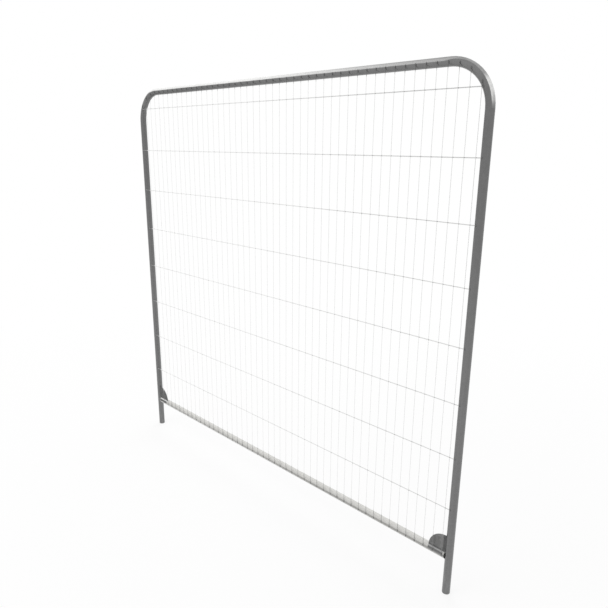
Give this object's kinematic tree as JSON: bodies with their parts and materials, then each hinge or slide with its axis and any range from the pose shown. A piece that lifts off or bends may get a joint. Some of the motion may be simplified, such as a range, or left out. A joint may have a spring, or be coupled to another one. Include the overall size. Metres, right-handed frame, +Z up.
{
  "type": "anti-climb temporary fence panel",
  "caption": "Free-standing site fence panel: bent tube frame with round top corners, bottom rail with corner gussets, and a narrow welded wire mesh that gives no foothold.",
  "frame": {"origin": "centre of the left leg's end face, on the ground", "axes": "+X from the left post to the right post, +Z up, and -Y the front, where the mesh lies"},
  "size_m": [2.5, 0.0401, 2.4],
  "materials": {
    "frame_steel": "dull zinc-coated tube",
    "rail_steel": "pale zinc-coated tube",
    "gusset_steel": "dull zinc-coated plate",
    "mesh_wire": "bright zinc-coated wire"
  },
  "bodies": {
    "root": {"frame_tube": "frame_steel", "bottom_rail": "rail_steel", "left_gusset": "gusset_steel", "right_gusset": "gusset_steel", "wire_mesh": "mesh_wire"}
  },
  "joints": []
}
